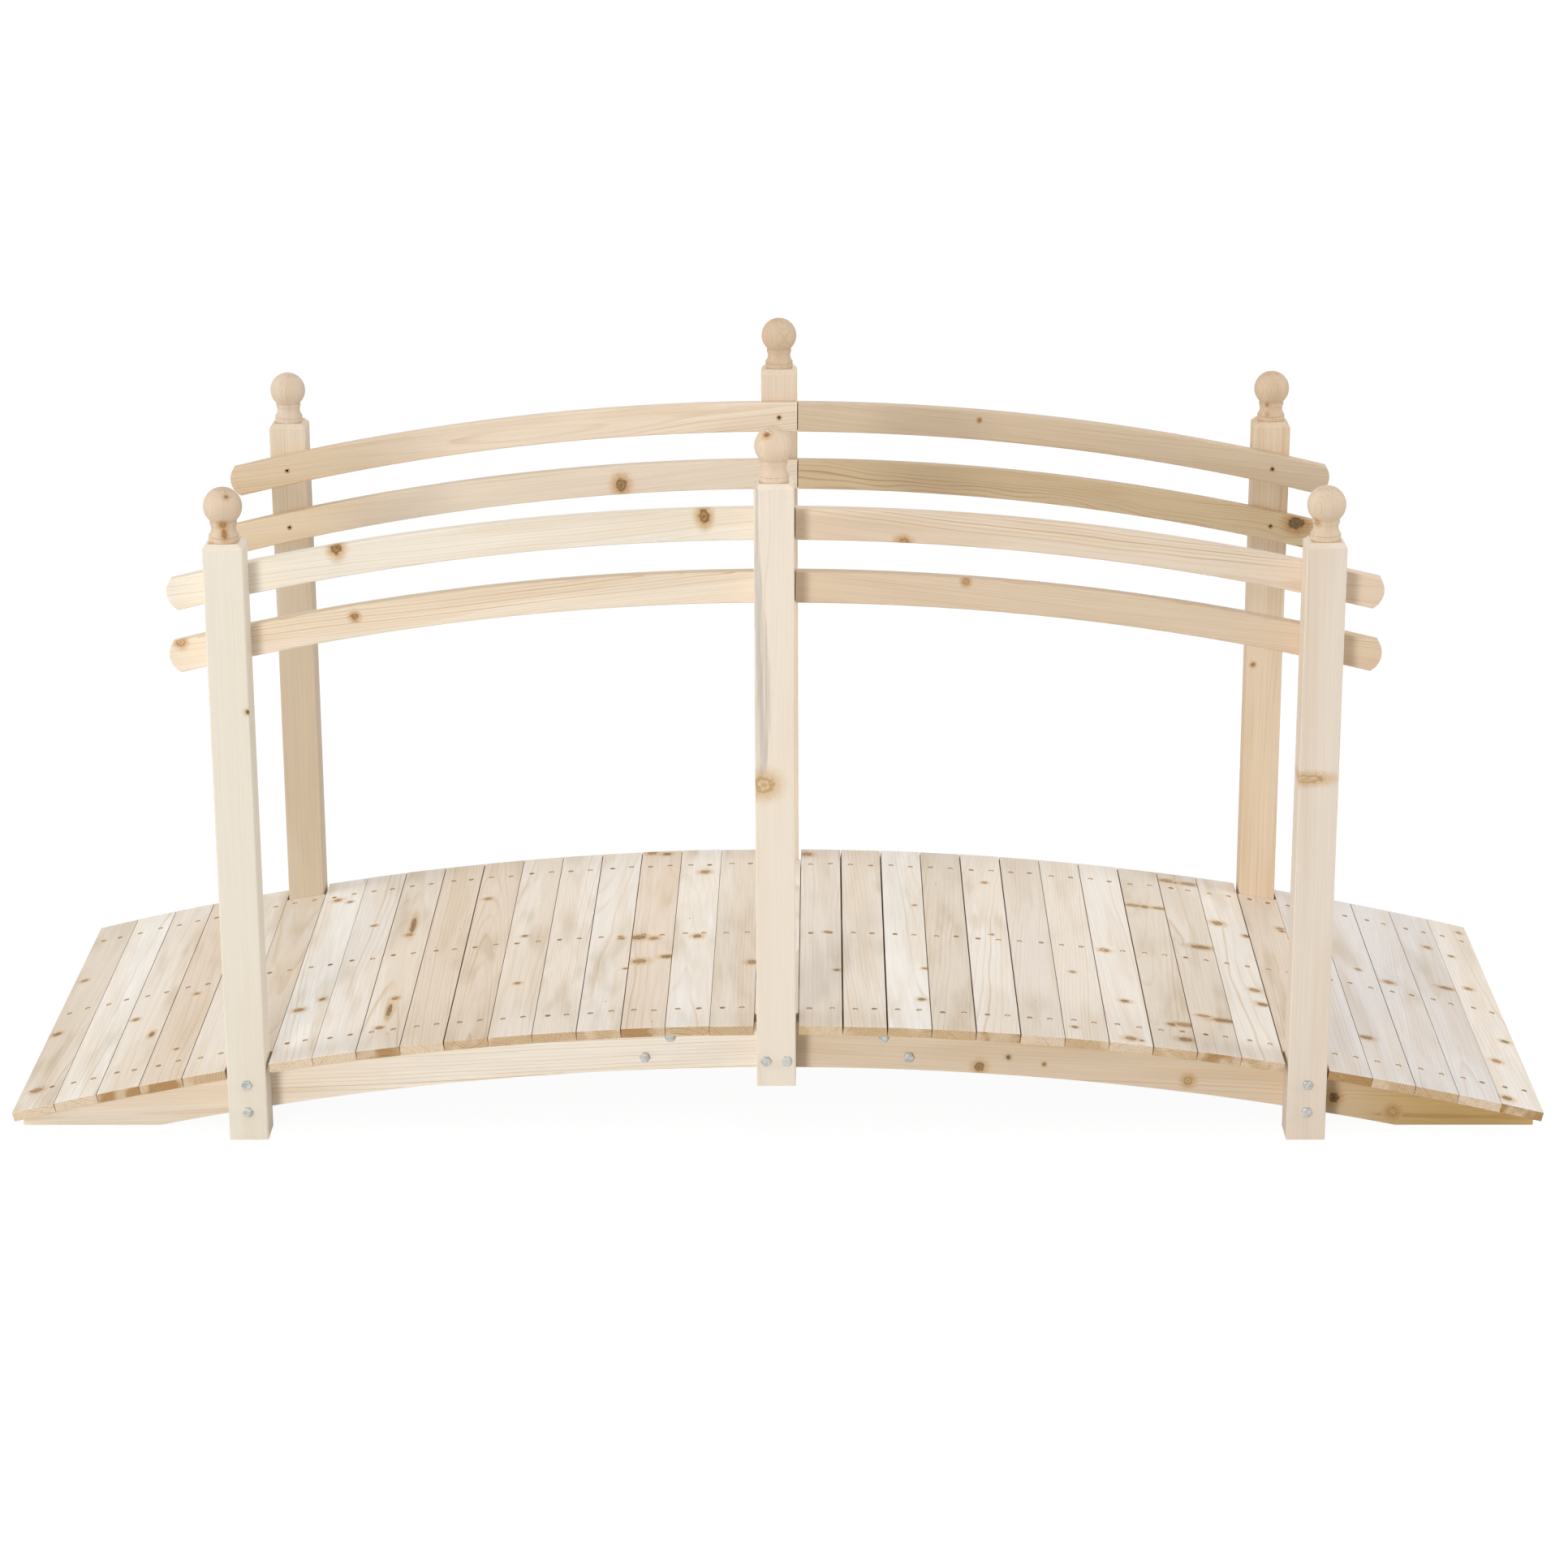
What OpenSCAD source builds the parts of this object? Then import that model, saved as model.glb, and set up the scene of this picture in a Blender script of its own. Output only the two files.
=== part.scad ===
// Arched garden footbridge in pale softwood.
// Three arched stringers, each two halves butted at mid span and spliced on one face, carry flat
// deck boards. Six square posts are bolted to the outer stringers, stand in notches of the deck
// and carry two curved rails a side. Each rail is two halves, half lapped over the middle post.
// X runs along the bridge, Y across it, Z up. The ground is Z = 0 and the crown is at X = 0.
// All sizes are in millimetres.

/* [Arch] */
// Radius of the stringers' top edge
arch_r = 4595; // [4300:5:6500]
// Height of the stringers' top edge at the crown
crown_h = 161; // [155:1:230]
// Width over the outer faces of the outer stringers
track_w = 684; // [560:2:900]

/* [Stringers] */
// Depth of a stringer from its top edge to its lower edge
stringer_d = 70; // [60:1:85]
// Thickness of a stringer
stringer_t = 40; // [30:1:60]
// Length of a splice board at the crown
splice_l = 440; // [420:5:600]
// Thickness of a splice board
splice_t = 20; // [15:1:30]
// Depth of a splice board
splice_d = 64; // [56:1:68]

/* [Deck boards] */
// Width of a deck board along the bridge
board_w = 62.5; // [50:0.5:64]
// Thickness of a deck board
board_t = 14; // [12:0.5:20]
// Distance of the deck boards' ends inside the posts' outer faces
board_in = 5; // [0:1:20]
// Gap between two deck boards
board_gap = 1.6; // [1:0.1:3]
// Chamfer on the long upper edges of a deck board
board_arris = 1; // [0.5:0.25:2]
// Number of boards between the crown board and an end post board
span_boards = 11; // [8:1:12]
// Number of boards past an end post board
end_boards = 5; // [3:1:6]
// Nose of the last board's lower edge past the plumb-cut ends of the stringers
board_nose = 3; // [1:1:20]

/* [Posts] */
// Side of a square post
post_w = 56; // [45:1:62]
// Play between a post and the deck boards on either side of it
post_play = 4.85; // [4:0.05:8]
// Height of the end posts' flat top above the ground
end_post_h = 890; // [870:1:960]
// Height of the middle posts' flat top above the ground
mid_post_h = 975; // [950:1:1060]
// Length of a middle post below the stringers' lower edge
mid_post_drop = 7; // [2:1:30]
// Chamfer around a post's top
post_chamfer = 7; // [3:0.5:12]
// Chamfer on a post's long edges
post_arris = 1.5; // [0.5:0.25:3]

/* [Finials] */
// Diameter of the ball
ball_d = 54; // [48:1:56]
// Height of a finial above the post's top
finial_h = 76.5; // [74:0.5:84]
// Diameter of the finial's base ring
base_d = 42; // [40:1:45]
// Height of the finial's base ring
base_h = 8; // [6:0.5:9]
// Diameter of the finial's neck at its narrowest
neck_d = 32; // [30:1:34]
// Diameter of the bead between the neck and the ball
bead_d = 35; // [34:0.5:37]
// Diameter of the peg that holds a finial in its post
peg_d = 10; // [8:1:14]
// Length of the peg
peg_l = 25; // [15:1:40]

/* [Rails] */
// Radius of the rails' middle line
rail_r = 3560; // [3200:10:5000]
// Height of the upper rail's middle line at the crown
rail_h = 905; // [880:1:925]
// Distance between the middle lines of the two rails
rail_pitch = 91; // [70:1:200]
// Depth of a rail
rail_d = 45; // [35:1:60]
// Thickness of a rail
rail_t = 20; // [16:1:30]
// Chamfer on a rail's long edges
rail_arris = 1.5; // [0.5:0.25:3]
// Length of a rail past the outer side of an end post
rail_over = 60; // [40:1:90]
// Radius of the rounded end of a rail
rail_end_r = 30; // [25:1:50]
// Gap between the two halves of a rail at the lap's shoulders
lap_gap = 1.5; // [0.5:0.25:3]

/* [Bolts] */
// Diameter of a bolt's shank
bolt_d = 8; // [6:1:10]
// Width of a bolt's head and nut across the flats
hex_w = 13; // [10:1:17]
// Height of a bolt's head
head_h = 5.3; // [4:0.1:7]
// Height of a nut
nut_h = 6.5; // [5:0.1:8]
// Diameter of the washer under a nut
washer_d = 16; // [15:0.5:20]
// Thickness of a washer
washer_t = 1.6; // [1:0.1:3]
// Length of a bolt past its nut
bolt_end = 3; // [1:0.5:8]
// Clearance between a bolt and its hole
bolt_play = 0.25; // [0.1:0.05:0.5]
// Depth of an end post's upper bolt below the stringers' top edge at the post
end_bolt_depth = 11; // [10:0.5:16]
// Distance between the two bolts in an end post
end_bolt_pitch = 42; // [30:1:44]
// Distance between the two bolts in a middle post
mid_bolt_pitch = 30; // [20:1:34]
// Depth of the middle posts' bolts below the stringers' top edge
mid_bolt_depth = 38; // [30:1:42]
// Distance of a splice's inner bolts from the crown
splice_bolt_in = 155; // [120:1:170]
// Distance of a splice's outer bolts from the crown
splice_bolt_out = 192; // [180:1:195]
// Distance of a splice's bolts from the stringers' edges
splice_bolt_edge = 20; // [16:1:24]

/* [Hidden] */

// Facets of a full circle for the long arcs and for small round parts
arc_fn = 720;
small_fn = 48;

// Arch: its centre lies below the ground, and the boards' surface has the radius deck_r
arch_z = crown_h - arch_r;
deck_r = arch_r + board_t;
arch_lower_r = arch_r - stringer_d;
crown_lower = crown_h - stringer_d;

// Boards: the board at a post is as wide as the post and its play, less the two board gaps
board_l = track_w + 2 * (post_w - board_in);
board_pitch = board_w + board_gap;
post_board_w = post_w + 2 * post_play - 2 * board_gap;
function turn(s, r) = s / r * 180 / PI;
function span_board_at(i) = post_board_w / 2 + board_gap + (i + 0.5) * board_w + i * board_gap;
post_board_at = post_board_w + board_gap + span_boards * board_pitch;
function end_board_at(i) = post_board_at + span_board_at(i);
deck_end_at = post_board_at + post_board_w / 2 + end_boards * board_pitch;
last_board_a = turn(end_board_at(end_boards - 1), deck_r);
last_board_end_x = arch_r * sin(last_board_a) + board_w / 2 * cos(last_board_a);
stringer_end_x = last_board_end_x - board_nose;

// Posts: they stand against the outer faces of the outer stringers, centred on their board
post_x = deck_r * sin(turn(post_board_at, deck_r));
post_y = track_w / 2 + post_w / 2;

// Rails: they lie against the inner faces of the posts
rail_y = track_w / 2 - rail_t / 2;
rail_end_x = post_x + post_w / 2 + rail_over;
rail_end_a = asin(rail_end_x / rail_r);
rail_end_rise = rail_end_r - sqrt(pow(rail_end_r, 2) - pow(rail_d / 2, 2));
lap_x = post_w / 2;

// Places of the bolts
splice_y = track_w / 2 - stringer_t - splice_t / 2;
function arch_drop(r, x) = r - sqrt(r * r - x * x);
splice_in_z = crown_h - arch_drop(arch_r, splice_bolt_in) - splice_bolt_edge;
splice_out_z = crown_lower - arch_drop(arch_lower_r, splice_bolt_out) + splice_bolt_edge;
mid_bolt_z = crown_h - mid_bolt_depth;
end_bolt_z = crown_h - arch_drop(arch_r, post_x) - end_bolt_depth;
end_bolt_places = [[0, end_bolt_z], [0, end_bolt_z - end_bolt_pitch]];
mid_bolt_places = [[-mid_bolt_pitch / 2, mid_bolt_z], [mid_bolt_pitch / 2, mid_bolt_z]];
splice_bolt_places = [
    [-splice_bolt_out, splice_out_z], [-splice_bolt_in, splice_in_z],
    [splice_bolt_in, splice_in_z], [splice_bolt_out, splice_out_z]
];

// Colours of the pale wood and the zinc
wood_board = [0.90, 0.85, 0.78];
wood_frame = [0.87, 0.78, 0.65];
wood_post = [0.89, 0.83, 0.74];
zinc = [0.75, 0.76, 0.78];

// A wedge between two angles from the upright, wide enough for a radius r
module wedge(a0, a1, r) {
    reach = 1.1 * r;
    polygon([[0, 0], [reach * sin(a0), reach * cos(a0)], [reach * sin(a1), reach * cos(a1)]]);
}

// The outline of a curved band between two radii and two angles, centred on the origin
module band(r_out, r_in, a0, a1) {
    intersection() {
        difference() {
            circle(r = r_out, $fn = arc_fn);
            circle(r = r_in, $fn = arc_fn);
        }
        wedge(a0, a1, r_out);
    }
}

// Stands an outline up in the XZ plane as a plate of thickness t, its middle at y
module upright(y, t) {
    translate([0, y, 0]) rotate([90, 0, 0]) linear_extrude(height = t, center = true) children();
}

// Round holes along Y through the plate at y, at the places [x, z]
module bolt_holes(places, y, t) {
    for (p = places)
        translate([p[0], y, p[1]]) rotate([90, 0, 0])
            cylinder(d = bolt_d + 2 * bolt_play, h = t + 2, center = true, $fn = small_fn);
}

// Right half of a stringer: the arched beam with its foot cut flat on the ground and its end plumb
module stringer_half_outline() {
    past_end_a = turn(deck_end_at + board_w, arch_r);
    intersection() {
        translate([0, arch_z]) band(arch_r, arch_lower_r, 0, past_end_a);
        square([stringer_end_x, crown_h]);
    }
}

module stringer_half(y, places) {
    color(wood_frame) difference() {
        upright(y, stringer_t) stringer_half_outline();
        bolt_holes(places, y, stringer_t);
    }
}

// The right half of an outer stringer also takes the end post's two bolts
function outer_stringer_places() = concat(
    [for (p = end_bolt_places) [post_x + p[0], p[1]]],
    [mid_bolt_places[1]], [splice_bolt_places[2], splice_bolt_places[3]]
);

module stringer(side, row) {
    y = row * (track_w - stringer_t) / 2;
    places = row == 0 ? [splice_bolt_places[2], splice_bolt_places[3]] : outer_stringer_places();
    if (side > 0) stringer_half(y, places);
    else mirror([1, 0, 0]) stringer_half(y, places);
}

// Splice board: a short arched board over the joint, bolted to the inner face of its stringer
module splice(row) {
    y = row == 0 ? stringer_t / 2 + splice_t / 2 : row * splice_y;
    mid_d = (stringer_d - splice_d) / 2;
    a = asin(splice_l / 2 / arch_r);
    places = row == 0 ? splice_bolt_places : concat(splice_bolt_places, mid_bolt_places);
    color(wood_frame) difference() {
        upright(y, splice_t)
            translate([0, arch_z]) band(arch_r - mid_d, arch_r - mid_d - splice_d, -a, a);
        bolt_holes(places, y, splice_t);
    }
}

// One deck board of width w and length l, turned to the distance s along the deck's surface
module deck_board(s, w, l) {
    translate([0, 0, arch_z]) rotate([0, turn(s, deck_r), 0]) translate([0, 0, arch_r])
        rotate([90, 0, 0]) linear_extrude(height = l, center = true)
            polygon([
                [-w / 2, 0], [w / 2, 0], [w / 2, board_t - board_arris],
                [w / 2 - board_arris, board_t], [-w / 2 + board_arris, board_t],
                [-w / 2, board_t - board_arris]
            ]);
}

// The boards between the posts, and past them, are full length
module boards_span(side) {
    color(wood_board)
        for (i = [0:span_boards - 1]) deck_board(side * span_board_at(i), board_w, board_l);
}

module boards_end(side) {
    color(wood_board)
        for (i = [0:end_boards - 1]) deck_board(side * end_board_at(i), board_w, board_l);
}

// The board at a pair of posts ends at the posts' inner faces
module board_post(place) {
    color(wood_board) deck_board(place * post_board_at, post_board_w, track_w);
}

// Outline of a post from z0 to its top, with the chamfered corners
module post_outline(z0, top) {
    h = post_w / 2;
    c = post_chamfer;
    polygon([[-h, z0], [h, z0], [h, top - c], [h - c, top], [-h + c, top], [-h, top - c]]);
}

// A rectangle about the origin with its corners chamfered by c
module chamfered(x, y, c) {
    polygon([
        [-x / 2, -y / 2 + c], [-x / 2 + c, -y / 2], [x / 2 - c, -y / 2], [x / 2, -y / 2 + c],
        [x / 2, y / 2 - c], [x / 2 - c, y / 2], [-x / 2 + c, y / 2], [-x / 2, y / 2 - c]
    ]);
}

module post(place, row) {
    top = place == 0 ? mid_post_h : end_post_h;
    z0 = place == 0 ? crown_lower - mid_post_drop : 0;
    places = place == 0 ? mid_bolt_places : end_bolt_places;
    translate([place * post_x, row * post_y, 0]) color(wood_post) difference() {
        intersection() {
            upright(0, 2 * post_w) post_outline(z0, top);
            rotate([0, 0, 90]) upright(0, 2 * post_w) post_outline(z0, top);
            linear_extrude(height = top + 1) chamfered(post_w, post_w, post_arris);
        }
        bolt_holes(places, 0, post_w);
        translate([0, 0, top - peg_l - 1])
            cylinder(d = peg_d + 2 * bolt_play, h = peg_l + 2, $fn = small_fn);
    }
}

// Turned finial: base ring with rounded edges, cove, bead and ball, with a peg below
module finial_profile() {
    round_r = 2;
    bead_r = 2;
    cove_r = 14;
    ring_step = 0.6;
    ball_r = ball_d / 2;
    ball_z = finial_h - ball_r;
    neck_r = neck_d / 2;
    cove_low = base_d / 2 - ring_step;
    cove_z = base_h + sqrt(pow(cove_r, 2) - pow(cove_r - (cove_low - neck_r), 2));
    bead_top = ball_z - sqrt(pow(ball_r, 2) - pow(bead_d / 2, 2));
    bead_sunk = 0.5;
    cove_top = bead_top - 2 * bead_r + bead_sunk;
    intersection() {
        translate([0, -peg_l]) square([ball_d, finial_h + peg_l]);
        union() {
            translate([0, -peg_l]) square([peg_d / 2, peg_l + 1]);
            square([base_d / 2 - round_r, base_h]);
            translate([0, round_r]) square([base_d / 2, base_h - 2 * round_r]);
            for (z = [round_r, base_h - round_r])
                translate([base_d / 2 - round_r, z]) circle(r = round_r, $fn = small_fn);
            difference() {
                translate([0, base_h - round_r]) square([cove_low, cove_top - base_h + round_r]);
                translate([neck_r + cove_r, cove_z]) circle(r = cove_r, $fn = 2 * small_fn);
            }
            square([neck_r - 1, ball_z]);
            translate([bead_d / 2 - bead_r, bead_top - bead_r]) circle(r = bead_r, $fn = small_fn);
            translate([0, ball_z]) circle(r = ball_r, $fn = 3 * small_fn);
        }
    }
}

module finial(place, row) {
    top = place == 0 ? mid_post_h : end_post_h;
    translate([place * post_x, row * post_y, top])
        color(wood_post) rotate_extrude($fn = 2 * small_fn) finial_profile();
}

// A back rail as a full ring: the chamfered bar turned about the arch's centre
module rail_ring(h) {
    translate([0, rail_y, h - rail_r]) rotate([90, 0, 0]) rotate_extrude($fn = arc_fn)
        translate([rail_r, 0]) chamfered(rail_d, rail_t, rail_arris);
}

// The stretch of the ring that the right half takes: from the angle a0 to its rounded end
module rail_reach(a0, h) {
    r_out = rail_r + rail_d / 2;
    a_flat = rail_end_a - turn(rail_end_rise, rail_r);
    a_round = rail_end_a - turn(rail_end_r, rail_r);
    translate([0, h - rail_r]) {
        wedge(a0, a_flat, r_out);
        translate([rail_r * sin(a_round), rail_r * cos(a_round)])
            circle(r = rail_end_r, $fn = 4 * small_fn);
    }
}

// Right half of a back rail: full thickness past the post, and a tongue half as thick over it
module rail_half(h, tongue_side) {
    intersection() {
        rail_ring(h);
        union() {
            upright(rail_y, 2 * rail_t) rail_reach(asin((lap_x + lap_gap) / rail_r), h);
            upright(rail_y + tongue_side * rail_t / 2, rail_t) rail_reach(asin(-lap_x / rail_r), h);
        }
    }
}

// The left half is the right half mirrored, with its tongue on the walkway's side, and the front
// rails are the back rails turned half a turn about Z
module rail(side, row, level) {
    h = rail_h - level * rail_pitch;
    place = side * row;
    color(wood_frame) rotate([0, 0, row > 0 ? 0 : 180]) mirror([place > 0 ? 0 : 1, 0, 0])
        rail_half(h, place);
}

// Hexagon bolt with its head on y = 0, nut and washer past the grip, pointing along +Y
module bolt(grip) {
    hex_d = hex_w / cos(30);
    rotate([-90, 0, 0]) {
        translate([0, 0, -head_h]) intersection() {
            cylinder(d = hex_d, h = head_h, $fn = 6);
            cylinder(d1 = hex_w - 1, d2 = hex_w - 1 + 2 * head_h / tan(30), h = head_h, $fn = small_fn);
        }
        cylinder(d = bolt_d, h = grip + washer_t + nut_h + bolt_end, $fn = small_fn);
        translate([0, 0, grip]) cylinder(d = washer_d, h = washer_t, $fn = small_fn);
        translate([0, 0, grip + washer_t]) cylinder(d = hex_d, h = nut_h, $fn = 6);
    }
}

// Bolts of the front posts, from the posts' outer faces to the stringers' or splices' inner faces
module bolts_posts(row) {
    end_grip = post_w + stringer_t;
    mid_grip = end_grip + splice_t;
    color(zinc) rotate([0, 0, row < 0 ? 0 : 180]) translate([0, -post_y - post_w / 2, 0]) {
        for (side = [-1, 1], p = end_bolt_places)
            translate([side * post_x + p[0], 0, p[1]]) bolt(end_grip);
        for (p = mid_bolt_places) translate([p[0], 0, p[1]]) bolt(mid_grip);
    }
}

// Bolts of a splice, from the stringer's outer face to the splice board's inner face
module bolts_splice(row) {
    y = row == 0 ? -stringer_t / 2 : -track_w / 2;
    color(zinc) rotate([0, 0, row > 0 ? 180 : 0]) translate([0, y, 0])
        for (p = splice_bolt_places) translate([p[0], 0, p[1]]) bolt(stringer_t + splice_t);
}

post(-1, -1);  // post_front_left
post(0, -1);  // post_front_mid
post(1, -1);  // post_front_right
post(-1, 1);  // post_back_left
post(0, 1);  // post_back_mid
post(1, 1);  // post_back_right
finial(-1, -1);  // finial_front_left
finial(0, -1);  // finial_front_mid
finial(1, -1);  // finial_front_right
finial(-1, 1);  // finial_back_left
finial(0, 1);  // finial_back_mid
finial(1, 1);  // finial_back_right
rail(-1, -1, 0);  // rail_upper_front_left
rail(1, -1, 0);  // rail_upper_front_right
rail(-1, -1, 1);  // rail_lower_front_left
rail(1, -1, 1);  // rail_lower_front_right
rail(-1, 1, 0);  // rail_upper_back_left
rail(1, 1, 0);  // rail_upper_back_right
rail(-1, 1, 1);  // rail_lower_back_left
rail(1, 1, 1);  // rail_lower_back_right
stringer(-1, -1);  // stringer_front_left
stringer(1, -1);  // stringer_front_right
stringer(-1, 0);  // stringer_mid_left
stringer(1, 0);  // stringer_mid_right
stringer(-1, 1);  // stringer_back_left
stringer(1, 1);  // stringer_back_right
splice(-1);  // splice_front
splice(0);  // splice_mid
splice(1);  // splice_back
boards_end(-1);  // boards_end_left
board_post(-1);  // board_post_left
boards_span(-1);  // boards_span_left
board_post(0);  // board_crown
boards_span(1);  // boards_span_right
board_post(1);  // board_post_right
boards_end(1);  // boards_end_right
bolts_posts(-1);  // bolts_posts_front
bolts_posts(1);  // bolts_posts_back
bolts_splice(-1);  // bolts_splice_front
bolts_splice(0);  // bolts_splice_mid
bolts_splice(1);  // bolts_splice_back
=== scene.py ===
import math
import random
import bpy
from mathutils import Matrix, Vector


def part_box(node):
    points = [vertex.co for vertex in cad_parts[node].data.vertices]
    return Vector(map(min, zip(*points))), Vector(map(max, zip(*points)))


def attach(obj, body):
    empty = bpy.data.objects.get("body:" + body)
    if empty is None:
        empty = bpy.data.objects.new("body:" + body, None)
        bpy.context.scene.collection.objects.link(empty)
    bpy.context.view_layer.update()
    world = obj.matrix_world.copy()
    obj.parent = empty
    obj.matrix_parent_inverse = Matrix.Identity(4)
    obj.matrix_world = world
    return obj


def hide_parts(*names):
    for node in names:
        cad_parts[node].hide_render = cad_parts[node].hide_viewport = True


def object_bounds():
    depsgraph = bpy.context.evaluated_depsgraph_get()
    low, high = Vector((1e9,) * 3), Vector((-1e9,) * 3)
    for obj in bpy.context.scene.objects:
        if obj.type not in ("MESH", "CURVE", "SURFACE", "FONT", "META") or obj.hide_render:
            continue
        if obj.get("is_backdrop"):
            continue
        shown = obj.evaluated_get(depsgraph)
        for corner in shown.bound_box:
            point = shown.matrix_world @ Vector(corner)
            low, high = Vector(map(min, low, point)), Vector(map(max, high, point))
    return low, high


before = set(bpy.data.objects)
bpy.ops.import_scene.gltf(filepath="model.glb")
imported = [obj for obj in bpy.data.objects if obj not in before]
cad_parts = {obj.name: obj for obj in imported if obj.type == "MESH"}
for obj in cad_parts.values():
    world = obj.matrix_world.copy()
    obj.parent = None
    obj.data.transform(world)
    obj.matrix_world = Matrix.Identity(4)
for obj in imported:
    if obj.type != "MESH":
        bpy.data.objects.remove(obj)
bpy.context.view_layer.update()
scene = bpy.context.scene
scene.view_settings.view_transform = "Standard"

# Camera. It looks at the bridge from the front, a little right of its middle and from above
# head height, with a long lens. The focal length is given in pixels of the photograph.
photo_width_px = 1932
focal_px = 5110
camera_place = (0.067, -5.959, 2.346)
camera_left = math.radians(0.56)
camera_down = math.radians(17.97)
camera_roll = math.radians(-0.22)
camera = bpy.data.objects.new("camera", bpy.data.cameras.new("camera"))
scene.collection.objects.link(camera)
camera.data.sensor_width = 36
camera.data.lens = camera.data.sensor_width * focal_px / photo_width_px
camera.data.clip_end = 100
camera.matrix_world = (
    Matrix.Translation(camera_place)
    @ Matrix.Rotation(camera_left, 4, "Z")
    @ Matrix.Rotation(math.pi / 2 - camera_down, 4, "X")
    @ Matrix.Rotation(camera_roll, 4, "Z")
)
scene.camera = camera


# Studio. A soft light from overhead, a lamp in front and a little left at the camera's height,
# weaker ones at both sides and behind, and a pale floor that looks white but keeps the bridge's
# shadow.
def colour(red, green, blue):
    """A colour as it is seen, 0 to 255, as Blender's linear numbers."""
    seen = (red / 255, green / 255, blue / 255)
    return tuple(c / 12.92 if c < 0.04045 else ((c + 0.055) / 1.055) ** 2.4 for c in seen) + (1,)


def add(tree, kind, inputs=None, **settings):
    """A new node with its settings, and its inputs set to values or linked to other outputs."""
    made = tree.nodes.new(kind)
    for key, value in settings.items():
        setattr(made, key, value)
    for key, value in (inputs or {}).items():
        if isinstance(value, bpy.types.NodeSocket):
            tree.links.new(value, made.inputs[key])
        else:
            made.inputs[key].default_value = value
    return made


def maths(tree, operation, *values):
    """The output of a Math node that works on the values."""
    return add(tree, "ShaderNodeMath", dict(enumerate(values)), operation=operation).outputs[0]


def seen_directly(tree):
    """1 for rays that show the background: from the camera, and in reflections and glass."""
    path = add(tree, "ShaderNodeLightPath").outputs
    mirrored = maths(tree, "MAXIMUM", path["Is Glossy Ray"], path["Is Transmission Ray"])
    return maths(tree, "MAXIMUM", path["Is Camera Ray"], mirrored)


sky_strength = 1.14
even_strength = 0.09
world = bpy.data.worlds.new("studio")
world.use_nodes = True
scene.world = world
tree = world.node_tree
tree.nodes.clear()
direction = add(tree, "ShaderNodeTexCoord").outputs["Generated"]
upward = add(tree, "ShaderNodeSeparateXYZ", {0: direction}).outputs["Z"]
overhead = maths(tree, "POWER", maths(tree, "MAXIMUM", upward, 0), 2)
soft_light = add(tree, "ShaderNodeBackground", {
    "Color": colour(250, 250, 252),
    "Strength": maths(tree, "MULTIPLY_ADD", overhead, sky_strength, even_strength)})
white_view = add(tree, "ShaderNodeBackground", {"Color": (1, 1, 1, 1), "Strength": 1})
both = add(tree, "ShaderNodeMixShader", {
    0: seen_directly(tree), 1: soft_light.outputs[0], 2: white_view.outputs[0]})
add(tree, "ShaderNodeOutputWorld", {"Surface": both.outputs[0]})

lamp_colour = (1, 0.99, 0.975)
lit_point = Vector((0, 0, 0.4))


def soft_lamp(name, place, size, watts):
    """A round lamp that faces the bridge."""
    lamp_data = bpy.data.lights.new(name, "AREA")
    lamp_data.shape = "DISK"
    lamp_data.size = size
    lamp_data.energy = watts
    lamp_data.color = lamp_colour
    lamp = bpy.data.objects.new(name, lamp_data)
    scene.collection.objects.link(lamp)
    aim = (lit_point - Vector(place)).to_track_quat("-Z", "Y")
    lamp.matrix_world = Matrix.Translation(place) @ aim.to_matrix().to_4x4()


soft_lamp("key_lamp", place=(-2.7, -8.4, 2.2), size=2, watts=345)
soft_lamp("left_lamp", place=(-8.4, -0.9, 3.4), size=5, watts=250)
soft_lamp("right_lamp", place=(8.4, -0.9, 3.4), size=5, watts=268)
soft_lamp("back_lamp", place=(1.5, 8.4, 2.6), size=4, watts=110)


def new_paint(name):
    """A material with an empty node tree."""
    paint = bpy.data.materials.new(name)
    paint.use_nodes = True
    paint.node_tree.nodes.clear()
    return paint


floor_size = 60
floor_drop = 0.0005
glow_strength = 1.1
glow_part = 0.86
bpy.ops.mesh.primitive_plane_add(size=floor_size, location=(0, 0, -floor_drop))
floor = bpy.context.object
floor.name = "floor"
floor_paint = new_paint("floor_paint")
tree = floor_paint.node_tree
pale = add(tree, "ShaderNodeBsdfDiffuse", {"Color": colour(205, 205, 205)})
glow = add(tree, "ShaderNodeEmission", {"Color": (1, 1, 1, 1), "Strength": glow_strength})
glow_share = maths(tree, "MULTIPLY", seen_directly(tree), glow_part)
both = add(tree, "ShaderNodeMixShader", {0: glow_share, 1: pale.outputs[0], 2: glow.outputs[0]})
add(tree, "ShaderNodeOutputMaterial", {"Surface": both.outputs[0]})
floor.data.materials.append(floor_paint)
floor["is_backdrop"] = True


# Stringers. Three arched bearers of sawn fir, each two halves that butt at the crown. They were
# cut from straight planks, so the grain runs nearly level while the edges curve away from it.
def vector_maths(tree, operation, *values):
    """The outputs of a Vector Math node that works on the values."""
    return add(tree, "ShaderNodeVectorMath", dict(enumerate(values)), operation=operation).outputs


def mixed(tree, share, first, second, blend="MIX"):
    """The output of a colour mix: first where the share is 0, second where it is 1."""
    made = add(tree, "ShaderNodeMix", {0: share, 6: first, 7: second},
               data_type="RGBA", blend_type=blend)
    return made.outputs[2]


def shaded(tree, share, tint, shade):
    """The tint where the share is 0, and the tint times the shade where it is 1."""
    return mixed(tree, share, tint, shade, "MULTIPLY")


def between(tree, value, low, high, start=0.0, end=1.0):
    """start up to low, end past high, and a smooth step in between."""
    return add(tree, "ShaderNodeMapRange", {
        "Value": value, "From Min": low, "From Max": high, "To Min": start, "To Max": end},
        interpolation_type="SMOOTHSTEP").outputs[0]


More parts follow.
